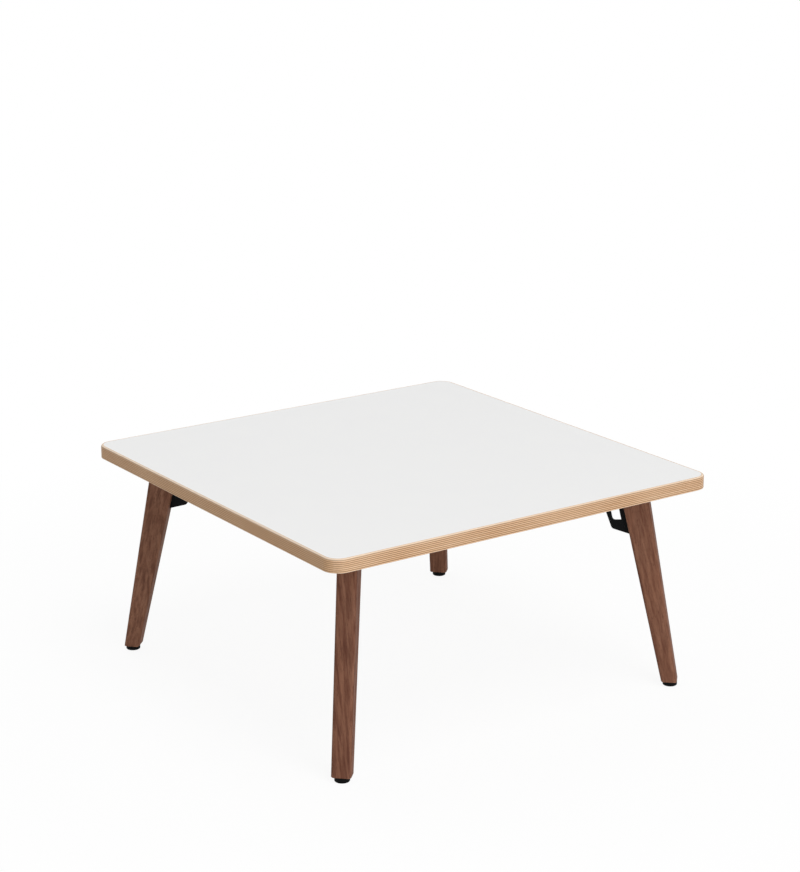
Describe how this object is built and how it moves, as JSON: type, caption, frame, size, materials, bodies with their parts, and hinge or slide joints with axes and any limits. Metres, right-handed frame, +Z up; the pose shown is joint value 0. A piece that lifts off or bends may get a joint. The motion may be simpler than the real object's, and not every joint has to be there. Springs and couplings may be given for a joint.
{
  "type": "low folding table",
  "caption": "Low square table with a white laminated plywood top on splayed wooden legs that fold inward on steel blade hinges.",
  "frame": {"origin": "on the floor, under the centre of the square top", "axes": "+Z up; +X along the front edge to the right; front edge towards -Y"},
  "size_m": [0.7, 0.7, 0.352],
  "materials": {
    "white_laminate": "satin high-pressure laminate",
    "backing_laminate": "matt backing sheet",
    "birch_plywood": "clear matt lacquer on layered edge",
    "walnut_stained_wood": "satin lacquer",
    "black_coated_steel": "black powder coat",
    "pin_steel": "bright zinc",
    "washer_nylon": "natural nylon",
    "screw_steel": "black oxide",
    "glide_plastic": "matt black"
  },
  "bodies": {
    "table_top": {"top_laminate": "white_laminate", "plywood_core": "birch_plywood", "backing_laminate": "backing_laminate", "front_left_bracket": "black_coated_steel", "front_left_pivot_pin": "pin_steel", "front_left_friction_washers": "washer_nylon", "front_left_bracket_screws": "screw_steel", "front_right_bracket": "black_coated_steel", "front_right_pivot_pin": "pin_steel", "front_right_friction_washers": "washer_nylon", "front_right_bracket_screws": "screw_steel", "rear_right_bracket": "black_coated_steel", "rear_right_pivot_pin": "pin_steel", "rear_right_friction_washers": "washer_nylon", "rear_right_bracket_screws": "screw_steel", "rear_left_bracket": "black_coated_steel", "rear_left_pivot_pin": "pin_steel", "rear_left_friction_washers": "washer_nylon", "rear_left_bracket_screws": "screw_steel"},
    "front_left_leg_unit": {"front_left_leg": "walnut_stained_wood", "front_left_leg_blade": "black_coated_steel", "front_left_cross_pins": "screw_steel", "front_left_glide": "glide_plastic", "front_left_glide_screw": "pin_steel"},
    "front_right_leg_unit": {"front_right_leg": "walnut_stained_wood", "front_right_leg_blade": "black_coated_steel", "front_right_cross_pins": "screw_steel", "front_right_glide": "glide_plastic", "front_right_glide_screw": "pin_steel"},
    "rear_right_leg_unit": {"rear_right_leg": "walnut_stained_wood", "rear_right_leg_blade": "black_coated_steel", "rear_right_cross_pins": "screw_steel", "rear_right_glide": "glide_plastic", "rear_right_glide_screw": "pin_steel"},
    "rear_left_leg_unit": {"rear_left_leg": "walnut_stained_wood", "rear_left_leg_blade": "black_coated_steel", "rear_left_cross_pins": "screw_steel", "rear_left_glide": "glide_plastic", "rear_left_glide_screw": "pin_steel"}
  },
  "joints": [
    {"name": "front_left_fold", "type": "hinge", "parent": "table_top", "child": "front_left_leg_unit", "pos_m": [-0.24463, -0.24463, 0.30902], "axis": [0.7071, -0.7071, 0], "range_deg": [0, 103]},
    {"name": "front_right_fold", "type": "hinge", "parent": "table_top", "child": "front_right_leg_unit", "pos_m": [0.24463, -0.24463, 0.30902], "axis": [0.7071, 0.7071, 0], "range_deg": [0, 103]},
    {"name": "rear_right_fold", "type": "hinge", "parent": "table_top", "child": "rear_right_leg_unit", "pos_m": [0.24463, 0.24463, 0.30902], "axis": [-0.7071, 0.7071, 0], "range_deg": [0, 103]},
    {"name": "rear_left_fold", "type": "hinge", "parent": "table_top", "child": "rear_left_leg_unit", "pos_m": [-0.24463, 0.24463, 0.30902], "axis": [-0.7071, -0.7071, 0], "range_deg": [0, 103]}
  ]
}
